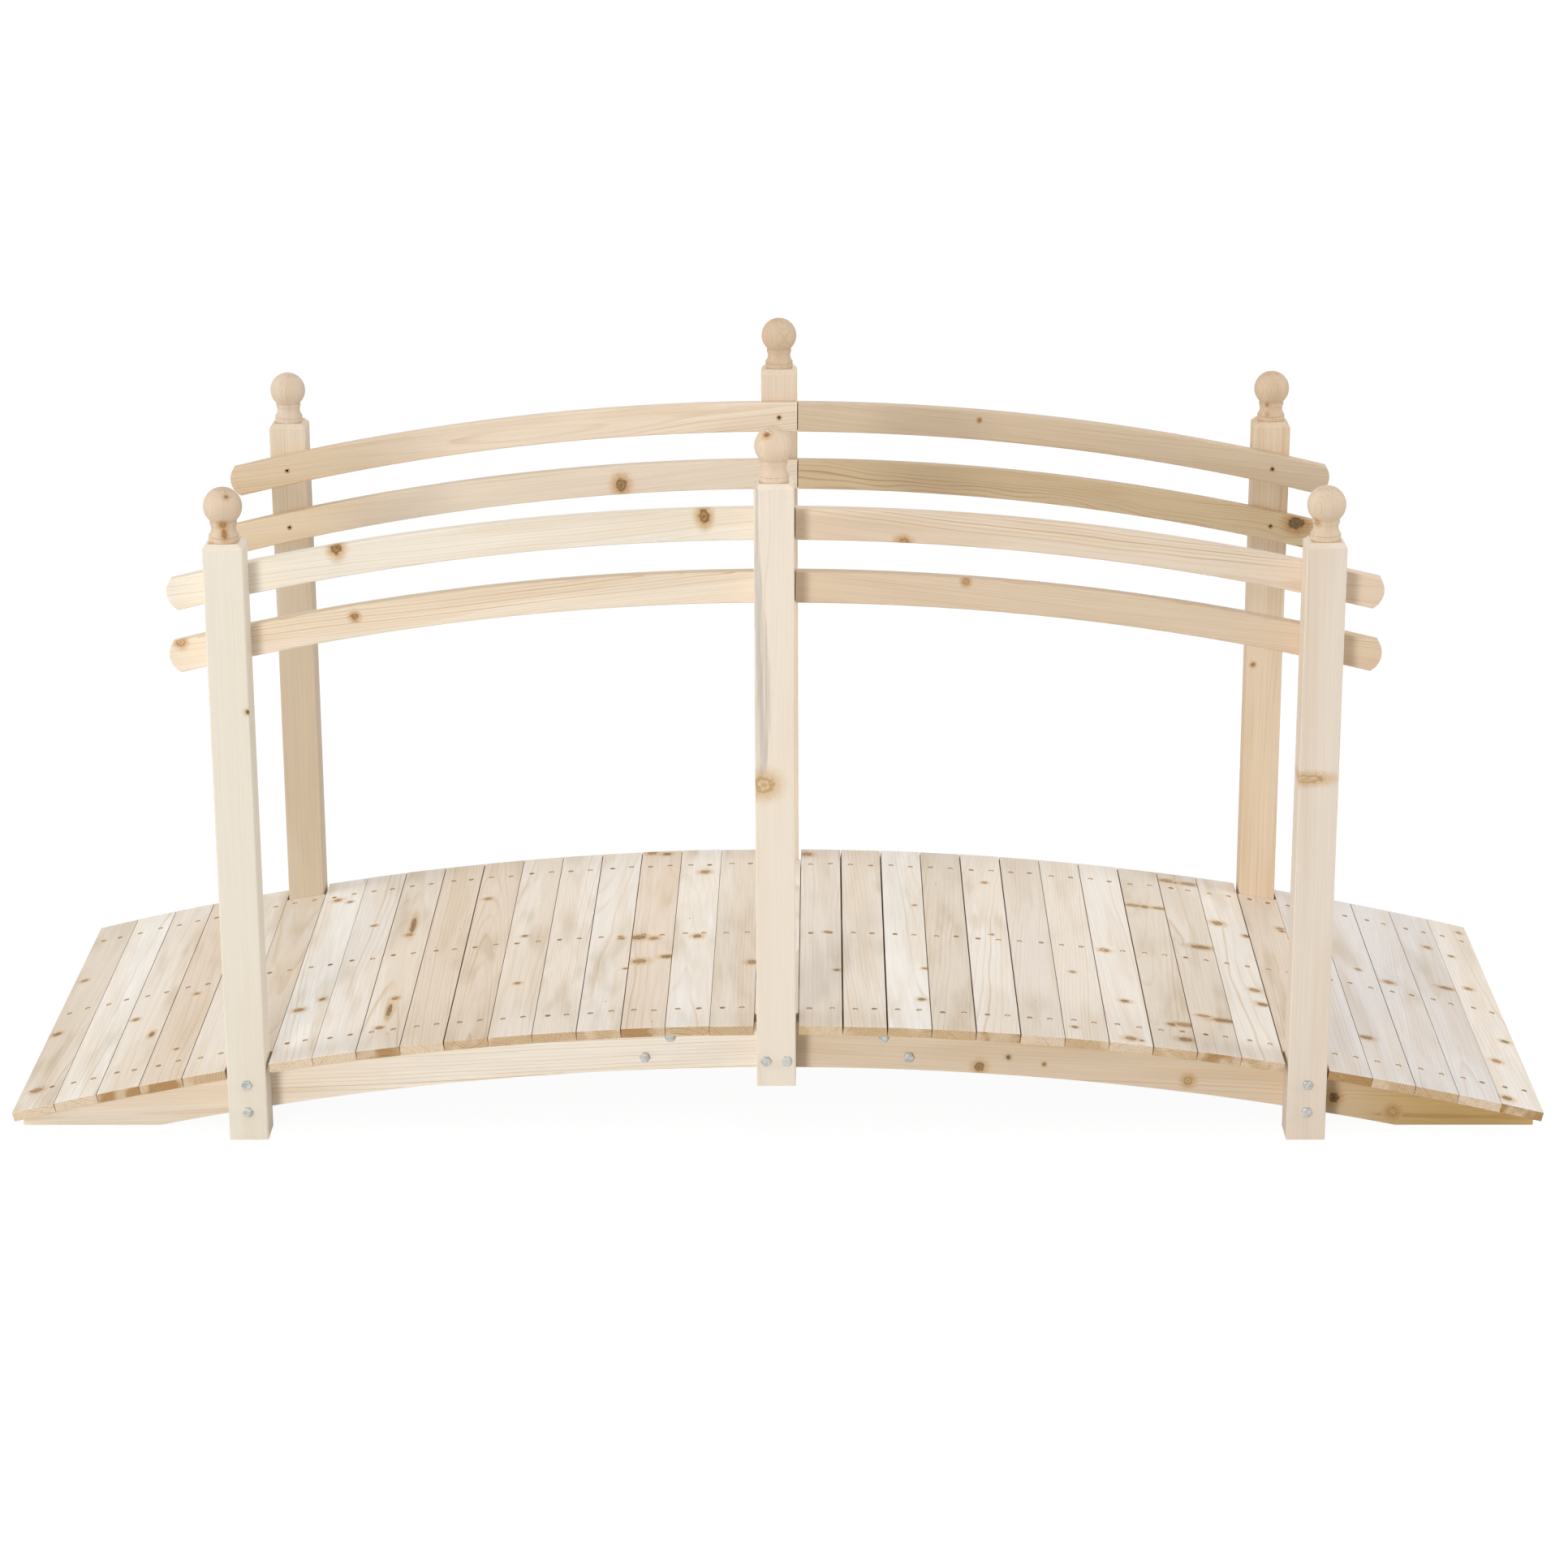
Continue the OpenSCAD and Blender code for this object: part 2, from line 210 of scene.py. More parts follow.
def stretched(tree, point, across, along):
    """The point's place in a texture, for features so many times as fine across and along."""
    return vector_maths(tree, "MULTIPLY", point, (across, across, along))[0]


def noise(tree, point, across, along, detail, roughness=0.5):
    """The outputs of a noise texture, so many times as fine across the grain and along it."""
    return add(tree, "ShaderNodeTexNoise", {
        "Vector": stretched(tree, point, across, along), "Scale": 1, "Detail": detail,
        "Roughness": roughness}).outputs


def looks_along(tree, axis):
    """1 on faces that look one way or the other along the axis, down to 0 on those beside it."""
    normal = add(tree, "ShaderNodeNewGeometry").outputs["Normal"]
    return maths(tree, "ABSOLUTE", add(tree, "ShaderNodeSeparateXYZ", {0: normal}).outputs[axis])


def measured(tree, axis):
    """The place along one axis of the shared frame, in metres."""
    here = add(tree, "ShaderNodeTexCoord").outputs["Object"]
    return add(tree, "ShaderNodeSeparateXYZ", {0: here}).outputs[axis]


def surface(tree, inputs):
    """Ends a material's tree with one shader that has these inputs."""
    shader = add(tree, "ShaderNodeBsdfPrincipled", inputs)
    add(tree, "ShaderNodeOutputMaterial", {"Surface": shader.outputs[0]})


def nearest_knot(tree, point, knots):
    """How far off the nearest knot is, in radii of that knot, and its colour."""
    nearest = tint = None
    for middle, radius, knot_colour, spread in knots:
        away = vector_maths(tree, "SUBTRACT", point, middle)[0]
        wide = add(tree, "ShaderNodeCombineXYZ", {0: spread, 1: spread, 2: 1}).outputs[0]
        away = vector_maths(tree, "DIVIDE", away, wide)[0]
        far = maths(tree, "DIVIDE", vector_maths(tree, "LENGTH", away)["Value"], radius)
        if nearest is None:
            nearest, tint = far, knot_colour
            continue
        tint = mixed(tree, maths(tree, "LESS_THAN", far, nearest), tint, knot_colour)
        nearest = maths(tree, "MINIMUM", far, nearest)
    return nearest, tint


def late_wood(tree, rings, late):
    """How dark the late wood is: 0 in early wood, and up to 1 in the darkest years."""
    ring_now = maths(tree, "FRACT", rings)
    year = add(tree, "ShaderNodeTexWhiteNoise", {"W": maths(tree, "FLOOR", rings)},
               noise_dimensions="1D").outputs[0]
    rise = between(tree, ring_now, late, 0.92)
    fall = between(tree, ring_now, 0.93, 1.0, 1.0, 0.0)
    year_share = maths(tree, "MULTIPLY_ADD", maths(tree, "POWER", year, 2), 0.8, 0.2)
    return maths(tree, "MULTIPLY", maths(tree, "MULTIPLY", rise, fall), year_share)


def knotted(tree, point, tint, nearest, knot_tint, halo):
    """The tint with its knots: a shaded halo, a core with some amber, a darker rim and middle."""
    frayed = noise(tree, point, 190, 190, 2)[0]
    ragged = maths(tree, "ADD", nearest, maths(tree, "SUBTRACT", frayed, 0.5))
    tint = shaded(tree, between(tree, ragged, 0.8, 3.0, 0.9, 0.0), tint, halo)
    core = mixed(tree, between(tree, frayed, 0.5, 0.66, 0.0, 0.6), knot_tint, colour(212, 178, 128))
    tint = mixed(tree, between(tree, ragged, 0.35, 1.45, 0.94, 0.0), tint, core)
    rim = maths(tree, "MULTIPLY", between(tree, ragged, 0.5, 0.85),
                between(tree, ragged, 0.85, 1.2, 1.0, 0.0))
    middle = between(tree, nearest, 0.1, 0.6, 0.7, 0.0)
    dark = maths(tree, "MULTIPLY", maths(tree, "MAXIMUM", rim, middle), 0.75)
    return mixed(tree, dark, tint, shaded(tree, 1.0, knot_tint, colour(202, 184, 156)))


def flecked(tree, point, tint):
    """The tint with small brown flecks here and there."""
    cells = add(tree, "ShaderNodeTexVoronoi", {"Vector": stretched(tree, point, 30, 14), "Scale": 1})
    drawn = add(tree, "ShaderNodeSeparateColor", {0: cells.outputs["Color"]}).outputs[0]
    speck = maths(tree, "MULTIPLY", between(tree, drawn, 0.8, 0.84),
                  between(tree, cells.outputs["Distance"], 0.02, 0.05, 0.75, 0.0))
    return mixed(tree, speck, tint, colour(146, 118, 84))


def end_grain(tree, point, end, late_share, fibres):
    """The colour of a sawn end: its rings, paler sapwood in places, and fine dark pores."""
    tint = shaded(tree, late_share, end, colour(200, 168, 120))
    sapwood = noise(tree, point, 24, 1, 2)[0]
    tint = mixed(tree, between(tree, sapwood, 0.48, 0.62, 0.0, 0.65), tint, colour(230, 210, 182))
    return shaded(tree, between(tree, fibres, 0.3, 0.6, 0.5, 0.0), tint, colour(222, 204, 176))


def fir(name, place, tone, end, knots, ring=0.0035, contrast=0.5, late=0.6, wander=0.02,
        end_axis="X", halo=colour(232, 208, 172), shades=()):
    """Sawn fir with yearly rings about the trunk's heart, fine fibres, knots and end grain.

    place(tree) gives the point in the trunk in metres, with Z along the trunk. tone is the
    colour of the planed faces and end that of sawn ends, which look along end_axis. Each knot
    is its place in the trunk, its radius, its colour and how many times as wide as long it is,
    and halo is the shade of the wood round it. A tone, an end or knots that differ over a piece
    are functions of the tree. ring is the mean width of a year's ring, late the share of it
    where the dark late wood starts, contrast how strong the figure is, and wander how far the
    rings stray from their round. Each of the shades is a function of the tree that gives a mask,
    and the colour that the wood is multiplied by there.
    """
    paint = new_paint(name)
    tree = paint.node_tree
    tone, end, knots = (given(tree) if callable(given) else given for given in (tone, end, knots))
    point = place(tree)
    drift = noise(tree, point, 7, 1.6, 3)["Color"]
    shift = vector_maths(tree, "MULTIPLY", drift, (wander, wander, 0))[0]
    bent = vector_maths(tree, "ADD", point, shift)[0]
    radius = vector_maths(tree, "LENGTH", stretched(tree, bent, 1, 0))["Value"]
    rings = maths(tree, "DIVIDE", radius, ring)
    nearest, knot_tint = nearest_knot(tree, point, knots)
    if knots:
        rings = maths(tree, "ADD", rings, between(tree, nearest, 0.4, 3.0, 0.9, 0.0))
    late_share = late_wood(tree, rings, late)
    fibres = noise(tree, point, 400, 6, 3)[0]
    warm, grey, faded = add(tree, "ShaderNodeSeparateColor", {
        0: noise(tree, bent, 19, 1.7, 2)["Color"]}).outputs

    figured = min(1.0, 2 * contrast)
    shown = between(tree, faded, 0.38, 0.62, 0.4 * contrast, 1.3 * contrast)
    tint = shaded(tree, maths(tree, "MULTIPLY", late_share, shown), tone, colour(222, 194, 154))
    fibre_shade = between(tree, fibres, 0.3, 0.7, 1 - 0.05 * figured, 1 + 0.035 * figured)
    tint = shaded(tree, 1.0, tint, fibre_shade)
    warm_share = between(tree, warm, 0.48, 0.57, 0.0, 0.65 * figured)
    tint = shaded(tree, warm_share, tint, colour(248, 242, 233))
    grey_share = between(tree, grey, 0.52, 0.62, 0.0, 0.55 * figured)
    tint = shaded(tree, grey_share, tint, colour(244, 241, 236))
    for mask, shade in shades:
        tint = shaded(tree, mask(tree), tint, shade)
    if knots:
        tint = knotted(tree, point, tint, nearest, knot_tint, halo)
    tint = flecked(tree, point, tint)
    sawn_end = between(tree, looks_along(tree, end_axis), 0.72, 0.9)
    tint = mixed(tree, sawn_end, tint, end_grain(tree, point, end, late_share, fibres))

    relief = maths(tree, "MULTIPLY_ADD", late_share, 0.4, fibres)
    bump = add(tree, "ShaderNodeBump", {"Height": relief, "Strength": 0.3, "Distance": 0.0005})
    surface(tree, {"Base Color": tint, "Normal": bump.outputs[0],
                   "Roughness": between(tree, fibres, 0.2, 0.8, 0.6, 0.76)})
    return paint


def fir_about(heart, turn, name, tone, end, knots=(), **looks):
    """Fir for a piece at its place in the shared frame, where the knots' middles are given.

    The turn about Y sets the grain upright, and then the shift by heart brings the trunk's heart
    to the origin.
    """
    def place(tree):
        """The point in the trunk."""
        here = add(tree, "ShaderNodeTexCoord").outputs["Object"]
        return add(tree, "ShaderNodeMapping", {
            "Vector": here, "Location": heart, "Rotation": (0, turn, 0)}).outputs[0]

    turned = Matrix.Rotation(turn, 3, "Y")
    in_trunk = [(tuple(turned @ Vector(middle) + Vector(heart)), *rest) for middle, *rest in knots]
    return fir(name, place, tone, end, in_trunk, **looks)


def dress(node, paint):
    """Gives a CAD node its material."""
    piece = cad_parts[node]
    piece.data.materials.clear()
    piece.data.materials.append(paint)


sawn_tone = colour(222, 198, 164)
brown_knot = colour(158, 124, 82)
dark_knot = colour(104, 84, 58)
pale_knot = colour(206, 176, 136)
stringer_knots = {
    "stringer_front_right": [
        ((0.295, -0.342, 0.091), 0.0065, brown_knot, 1), ((0.389, -0.342, 0.095), 0.0025, brown_knot, 1),
        ((0.337, -0.342, 0.106), 0.003, dark_knot, 1), ((0.599, -0.342, 0.069), 0.006, pale_knot, 1),
        ((0.898, -0.342, 0.021), 0.006, pale_knot, 1), ((0.812, -0.342, 0.043), 0.007, dark_knot, 1)],
    "stringer_front_left": [((-0.318, -0.342, 0.073), 0.007, pale_knot, 0.6)],
    "stringer_back_left": [((-0.31, 0.342, 0.1), 0.007, dark_knot, 1)],
}


def crown_painted_light(tree):
    """The left halves' tone, paler towards the crown: painted light under the deck's overhang."""
    towards_crown = between(tree, measured(tree, "X"), -0.75, -0.4)
    return mixed(tree, towards_crown, colour(249, 234, 214), colour(254, 245, 231))


def foot_tone_and_shade(tree):
    """The right halves' tone, browner towards the foot: partly darker wood, partly painted shade."""
    towards_foot = between(tree, measured(tree, "X"), 0.7, 0.98)
    return mixed(tree, towards_foot, colour(231, 210, 182), colour(210, 176, 116))


# Both tones hold painted light and shade, which change along each stringer.
stringer_tones = {"left": crown_painted_light, "right": foot_tone_and_shade}
stringer_tilts = {"left": 0.05, "right": -0.05}
stringer_contrasts = {"left": 0.9, "right": 0.55}
for number, row in enumerate(("front", "mid", "back")):
    heart = (0.055 + 0.011 * number, 0.31 - 0.02 * number, 0.3 * number)
    for side, tone in stringer_tones.items():
        name = f"stringer_{row}_{side}"
        turn = stringer_tilts[side] - math.pi / 2
        wood = fir_about(heart, turn, name, tone, sawn_tone, stringer_knots.get(name, ()),
                         ring=0.0052, contrast=stringer_contrasts[side], late=0.72)
        dress(name, wood)


# Splice boards. Short arched boards of the same fir over the stringers' joints, bolted to the
# stringers' faces out of sight under the deck.
for number, row in enumerate(("front", "mid", "back")):
    name = f"splice_{row}"
    heart = (0.04, 0.02 * number, 0.5 * number)
    wood = fir_about(heart, -math.pi / 2, name, colour(238, 220, 195), sawn_tone, ring=0.004)
    dress(name, wood)


# Deck boards. Thirty-five planed fir boards, each turned to its place on the arch. They almost
# touch at their lower edges, with narrow gaps on top that vary. Every board is nailed with two
# nails to each of the three stringers.
board_long = 0.786
board_short = 0.684
board_wide = 0.0625
board_thick = 0.014
board_pitch = 0.0641
board_edge = 0.0006
bottom_gap = 0.0003
end_play = 0.0012
deck_radius = 4.609
arch_middle = -4.434
# Boards are counted from the crown, 0, to both ends
post_board = 12
end_board = 17
# The nails' places on a board, how far they stray from them, and how deep the punch's middle goes
nail_rows = {"front": -0.32, "mid": 0.0, "back": 0.32}
nail_side = 0.015
nail_play_across = 0.002
nail_play_along = 0.003
nail_spots = {row: [] for row in nail_rows}
punch_height = 0.0014
punch_sunk = 0.0006
dice = random.Random(5)

bpy.ops.mesh.primitive_cube_add(size=1)
plank = bpy.context.object
plank.name = "plank"
bpy.ops.object.mode_set(mode="EDIT")
bpy.ops.mesh.select_all(action="SELECT")
bpy.ops.transform.resize(value=(board_wide, board_long, board_thick))
bpy.ops.mesh.bevel(offset=board_edge, segments=2, affect="EDGES")
bpy.ops.object.mode_set(mode="OBJECT")

bpy.ops.mesh.primitive_cone_add(vertices=16, radius1=0.0034, radius2=0.0043, depth=punch_height)
punch = bpy.context.object
punch.name = "punch"

# One letter a gap, from the left end to the right: closed, fine, middling, open or wide, and
# the outer edges of the end boards
gap_letters = "e" + "fmmm" + "cf" + "cmmoffmmfc" + "cm" + "wwmoofmomf" + "oc" + "fmfc" + "e"
gap_widths = {"c": 0.0004, "f": 0.0007, "m": 0.001, "o": 0.0015, "w": 0.0022, "e": 0.002}
# One letter a board: silvery, pale, cream, warm, grey, blue, tan or dull
board_letters = "gsctcd" + "spcttcppwsc" + "p" + "gcsdpgcpdgp" + "t" + "bbbbp"
board_tones = {
    "s": colour(245, 240, 232), "p": colour(240, 232, 221), "c": colour(236, 226, 212),
    "w": colour(233, 217, 198), "g": colour(230, 220, 207), "b": colour(228, 222, 217),
    "t": colour(228, 212, 192), "d": colour(226, 214, 197),
}
# The same for the boards' sawn ends: pale, tan or dark
end_letters = "ppddt" + "t" + "ppdpttttdtt" + "p" + "ttttdptptdt" + "t" + "dttpd"
end_tones = {"p": colour(228, 208, 182), "t": colour(208, 180, 142), "d": colour(180, 142, 92)}
# Knots by board, counted from the crown: across and along the board and radius, in mm, and how
# many times as wide as long the knot is
board_knots = {
    -17: [(-15, 140, 5, 1), (-18, -88, 6, 1), (-6, -320, 7, 1)],
    -15: [(-20, -100, 5, 1), (18, -180, 9, 0.4)],
    -14: [(2, -35, 4, 1), (5, -265, 3, 1)],
    -11: [(-12, -185, 6, 1.2), (20, -153, 5, 0.9), (-8, 301, 6, 1), (14, 284, 4, 1)],
    -10: [(3, 152, 4, 1)],
    -9: [(6, -190, 6, 0.8), (3, 130, 30, 0.13), (-6, -306, 5, 1), (2, -238, 24, 0.15), (1, 88, 6, 0.8)],
    -7: [(-14, 219, 5, 1)],
    -6: [(-4, -176, 4, 1), (-7, 29, 4, 1)],
    -4: [(16, -10, 4, 1), (28, -143, 3, 1)],
    -3: [(-16, -114, 8, 1.1), (25, -98, 6, 1.3), (1, -16, 6, 1), (-22, -9, 8, 1.2), (-16, 387, 7, 1),
         (8, 379, 6, 1)],
    -2: [(8, 285, 7, 1), (4, -12, 7, 0.9)],
    -1: [(26, -130, 7, 1)],
    1: [(9, 3, 4, 1), (24, -162, 4, 1), (-22, 368, 7, 1)],
    3: [(18, 136, 3, 1), (20, -274, 5, 1), (28, -144, 4, 1)],
    5: [(4, 261, 4, 1), (6, 21, 3, 1)],
    7: [(-6, -116, 4, 1), (-16, -346, 4, 1)],
    8: [(-14, -7, 6, 1.1), (2, -219, 5, 1.2), (0, -370, 6, 1.2), (16, -374, 3, 1)],
    9: [(-19, 216, 5, 2), (0, 215, 5, 1), (24, 216, 5, 2), (2, -295, 5, 1.1), (22, -290, 6, 2.2),
        (18, -350, 7, 1.3)],
    10: [(-18, 356, 6, 1.6), (-4, 352, 3, 1), (18, 354, 6, 1.9), (12, 58, 7, 2), (-10, -243, 4, 2),
         (18, -252, 6, 2.5)],
    11: [(-15, 182, 8, 1), (27, 140, 5, 1), (16, -102, 6, 1.2), (22, -159, 6, 1.3)],
    12: [(23, 201, 5, 1), (25, 190, 4, 1)],
    14: [(5, 72, 4, 1), (-21, -228, 6, 1.4)],
    15: [(-15, 39, 6, 1.2)],
    16: [(12, 247, 5, 1), (16, 67, 5, 2)],
    17: [(17, 358, 4, 1), (-15, 229, 4, 1), (-9, 88, 5, 1.2), (16, -121, 5, 1.2), (-12, -216, 6, 1),
         (-20, -366, 7, 1)],
}
# The most knots that a board has, and where the knots lie that it has not
knot_slots = 6
far_away = (9, 9, 9)
deck_groups = {
    "boards_end_left": range(-17, -12), "board_post_left": [-12],
    "boards_span_left": range(-11, 0), "board_crown": [0], "boards_span_right": range(1, 12),
    "board_post_right": [12], "boards_end_right": range(13, 18),
}


def copied(original):
    """A copy in the scene, with a mesh of its own."""
    piece = original.copy()
    piece.data = original.data.copy()
    scene.collection.objects.link(piece)
    return piece


def joined(pieces):
    """The pieces joined into one, which is then the active object."""
    bpy.ops.object.select_all(action="DESELECT")
    for piece in pieces:
        piece.select_set(True)
    bpy.context.view_layer.objects.active = pieces[0]
    if len(pieces) > 1:
        bpy.ops.object.join()
    return bpy.context.object


def cut_board(number):
    """A board cut to length, as wide as the gaps at its two sides leave it."""
    long = board_short if abs(number) in (0, post_board) else board_long
    end_shift = 0 if long == board_short else dice.uniform(-end_play, end_play)
    piece = copied(plank)
    trim = Matrix.Diagonal((1, long / board_long, 1, 1))
    piece.data.transform(Matrix.Translation((0, end_shift, 0)) @ trim)
    gap_left, gap_right = (gap_widths[letter] for letter in gap_letters[number + end_board:][:2])
    for vertex in piece.data.vertices:
        on_right = vertex.co.x > 0
        gap = gap_right if on_right else gap_left
        if vertex.co.z < 0 and gap != gap_widths["e"]:
            gap = bottom_gap
        grown = (board_pitch - gap - board_wide) / 2
        vertex.co.x += grown if on_right else -grown
    return piece


def punch_holes(piece, number):
    """Sinks the nails' punched holes into a board, and notes where its nails go."""
    holes = []
    for row, along in nail_rows.items():
        for side in (-nail_side, nail_side):
            spot = Vector((side + dice.uniform(-nail_play_across, nail_play_across),
                           along + dice.uniform(-nail_play_along, nail_play_along), 0))
            hole = copied(punch)
            down = Vector((0, 0, board_thick / 2 - punch_sunk))
            hole.data.transform(Matrix.Translation(spot + down))
            holes.append(hole)
            nail_spots[row].append((number, spot))
    cutter = joined(holes)
    cut = piece.modifiers.new("nail_holes", "BOOLEAN")
    cut.operation = "DIFFERENCE"
    cut.object = cutter
    cut.material_mode = "TRANSFER"
    bpy.context.view_layer.objects.active = piece
    bpy.ops.object.modifier_apply(modifier=cut.name)
    bpy.data.objects.remove(cutter)


def store(piece, name, values):
    """Stores four numbers that are the same all over a board, for its material to read."""
    made = piece.data.attributes.new(name, "FLOAT_COLOR", "POINT")
    made.data.foreach_set("color", list(values) * len(piece.data.vertices))


def store_wood(piece, number):
    """Stores a board's place in its trunk, its tones and its knots."""
    heart = Vector((dice.uniform(-0.11, 0.11), dice.choice((-1, 1)) * dice.uniform(0.025, 0.14)))
    lean = (dice.uniform(-0.03, 0.03), dice.uniform(-0.035, 0.035))
    start = dice.uniform(0, 20)

    def in_trunk(across, along, up):
        """The place in the trunk of a point of the board."""
        return (across + heart.x + lean[0] * along, up + heart.y + lean[1] * along, along + start)

    trunk = piece.data.attributes.new("trunk", "FLOAT_VECTOR", "POINT")
    for vertex, value in zip(piece.data.vertices, trunk.data):
        value.vector = in_trunk(vertex.co.x, vertex.co.y, vertex.co.z)
    store(piece, "tone", board_tones[board_letters[number + end_board]])
    store(piece, "end", end_tones[end_letters[number + end_board]])
    knots = board_knots.get(number, [])
    for slot_number in range(knot_slots):
        if slot_number < len(knots):
            across, along, size, spread = knots[slot_number]
            middle = in_trunk(across / 1000, along / 1000, board_thick / 2)
        else:
            middle, size, spread = far_away, 1, 1
        store(piece, f"knot_{slot_number}", middle + (size / 1000,))
        store(piece, f"spread_{slot_number}", (spread, spread, spread, 1))


def place_on_arch(number):
    """The matrix from a board's own axes to its place on the arch."""
    angle = number * board_pitch / deck_radius
    middle = deck_radius - board_thick / 2
    return (Matrix.Translation((0, 0, arch_middle)) @ Matrix.Rotation(angle, 4, "Y")
            @ Matrix.Translation((0, 0, middle)))


def lay_board(number):
    """One board, cut, punched and laid in its place."""
    piece = cut_board(number)
    punch_holes(piece, number)
    store_wood(piece, number)
    piece.data.transform(place_on_arch(number))
    return piece


def stored(tree, name):
    """The outputs that read what a board stores."""
    return add(tree, "ShaderNodeAttribute", attribute_name=name).outputs


def board_trunk(tree):
    """The place in a board's own trunk."""
    return stored(tree, "trunk")["Vector"]


def board_tone(tree):
    """The colour of a board's planed faces."""
    return stored(tree, "tone")["Color"]


def board_end(tree):
    """The colour of a board's sawn ends."""
    return stored(tree, "end")["Color"]


def stored_knots(tree):
    """A board's knots, paler and darker ones in turn."""
    tones = (colour(172, 138, 94), colour(142, 112, 72))
    knots = []
    for number in range(knot_slots):
        knot = stored(tree, f"knot_{number}")
        spread = stored(tree, f"spread_{number}")["Fac"]
        knots.append((knot["Color"], knot["Alpha"], tones[number % 2], spread))
    return knots


def painted_gap_shade(tree):
    """The faces inside the gaps, darkened there as painted shade, but not the deck's two ends."""
    deck_end = 1.09
    sideways = between(tree, looks_along(tree, "X"), 0.8, 0.95)
    inner = maths(tree, "LESS_THAN", maths(tree, "ABSOLUTE", measured(tree, "X")), deck_end)
    return maths(tree, "MULTIPLY", sideways, inner)


def smudges(tree):
    """Soft grey clouds of weathering along some of the boards."""
    point = board_trunk(tree)
    clouds = noise(tree, point, 36, 7, 2, roughness=0.45)[0]
    groups = noise(tree, point, 9, 3, 1)[0]
    return maths(tree, "MULTIPLY", between(tree, clouds, 0.42, 0.72), between(tree, groups, 0.44, 0.64))


# The faces in the gaps between boards get a painted shade; the smudges are weathering.
board_fir = fir("board_fir", board_trunk, board_tone, board_end, stored_knots, ring=0.004,
                contrast=0.55, end_axis="Y",
                shades=[(painted_gap_shade, colour(172, 140, 100)), (smudges, colour(237, 232, 223))])
plank.data.materials.append(board_fir)
# The punched holes' walls are painted brown: bruised wood, and painted shade in the hollow.
hole_shade_and_bruising = colour(164, 128, 82)
punch.data.materials.append(fir("shaded_hole_fir", board_trunk, hole_shade_and_bruising, hole_shade_and_bruising, [], end_axis="Y"))
for group, numbers in deck_groups.items():
    deck = joined([lay_board(number) for number in numbers])
    deck.name = "deck_" + group
    deck.data.name = deck.name
    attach(deck, "root")
    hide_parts(group)
bpy.data.objects.remove(plank)
bpy.data.objects.remove(punch)


# Nails. Small domed heads, driven until they sit at the bottom of their punched holes, one
# piece for each row over a stringer.
def round_head(name, paint, vertices, radius, height, insets):
    """A disc raised to its height, then inset and raised or sunk again by each of the insets."""
    bpy.ops.mesh.primitive_circle_add(vertices=vertices, radius=radius, fill_type="NGON")
    head = bpy.context.object
    head.name = name
    head.data.materials.append(paint)
    bpy.ops.object.mode_set(mode="EDIT")
    bpy.ops.mesh.select_all(action="SELECT")
    bpy.ops.mesh.extrude_region_move(TRANSFORM_OT_translate={"value": (0, 0, height)})
    for thickness, depth in insets:
        bpy.ops.mesh.inset(thickness=thickness, depth=depth)
    bpy.ops.mesh.select_all(action="SELECT")
    bpy.ops.mesh.normals_make_consistent(inside=False)
    bpy.ops.object.mode_set(mode="OBJECT")
    return head


nail_sunk = 0.0015
nail_steel = new_paint("nail_steel")
tree = nail_steel.node_tree
here = add(tree, "ShaderNodeTexCoord").outputs["Object"]
tarnish = noise(tree, here, 900, 900, 2)[0]
each_nail = noise(tree, here, 31, 31, 0)[0]
tint = mixed(tree, between(tree, each_nail, 0.45, 0.7), colour(224, 198, 156), colour(136, 100, 54))
tint = mixed(tree, between(tree, tarnish, 0.5, 0.8), tint, colour(164, 130, 86))
surface(tree, {"Base Color": tint, "Metallic": 0.3,
               "Roughness": between(tree, tarnish, 0.3, 0.8, 0.4, 0.65)})
nail = round_head("nail", nail_steel, vertices=12, radius=0.0033, height=0.0005,
                  insets=[(0.0007, 0.0003), (0.0006, 0.0001)])

for row, spots in nail_spots.items():
    heads = []
    for number, spot in spots:
        sunk = Vector((spot.x, spot.y, board_thick / 2 - nail_sunk))
        head = copied(nail)
        head.data.transform(place_on_arch(number) @ Matrix.Translation(sunk))
        heads.append(head)
    nails = joined(heads)
    nails.name = "nails_" + row
    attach(nails, "root")
bpy.data.objects.remove(nail)


# Posts. Six planed square posts of the palest fir, each chamfered round its top and bolted to
# an outer stringer. Their rings show as fine upright lines.
def paler_top(tree):
    """The back left post's tone, paler above the rails."""
    above = between(tree, measured(tree, "Z"), 0.76, 0.86)
    return mixed(tree, above, colour(206, 190, 167), colour(226, 210, 188))


post_tones = {
    "front_left": colour(233, 224, 207), "front_mid": colour(239, 226, 208),
    "front_right": colour(233, 219, 202), "back_left": paler_top,
    "back_mid": colour(230, 212, 190), "back_right": colour(226, 205, 178),
}
post_hearts = {
    "front_left": (0.85, 0.47, 0), "front_mid": (0.02, 0.5, 3), "front_right": (-0.70, 0.47, 6),
    "back_left": (0.83, -0.44, 9), "back_mid": (0.06, -0.45, 12), "back_right": (-0.82, -0.46, 15),
}
post_knots = {
    "front_left": [((-0.740, -0.398, 0.649), 0.003, dark_knot, 1)],
    "front_mid": [((-0.0155, -0.398, 0.541), 0.0115, colour(226, 200, 162), 1.1)],
    "front_right": [((0.748, -0.398, 0.549), 0.0055, colour(220, 194, 154), 4)],
    "back_right": [((0.748, 0.342, 0.5), 0.003, brown_knot, 1)],
}
post_contrasts = {"front_left": 0.2, "front_mid": 0.15, "front_right": 0.3, "back_left": 0.4,
                  "back_mid": 0.35, "back_right": 0.5}


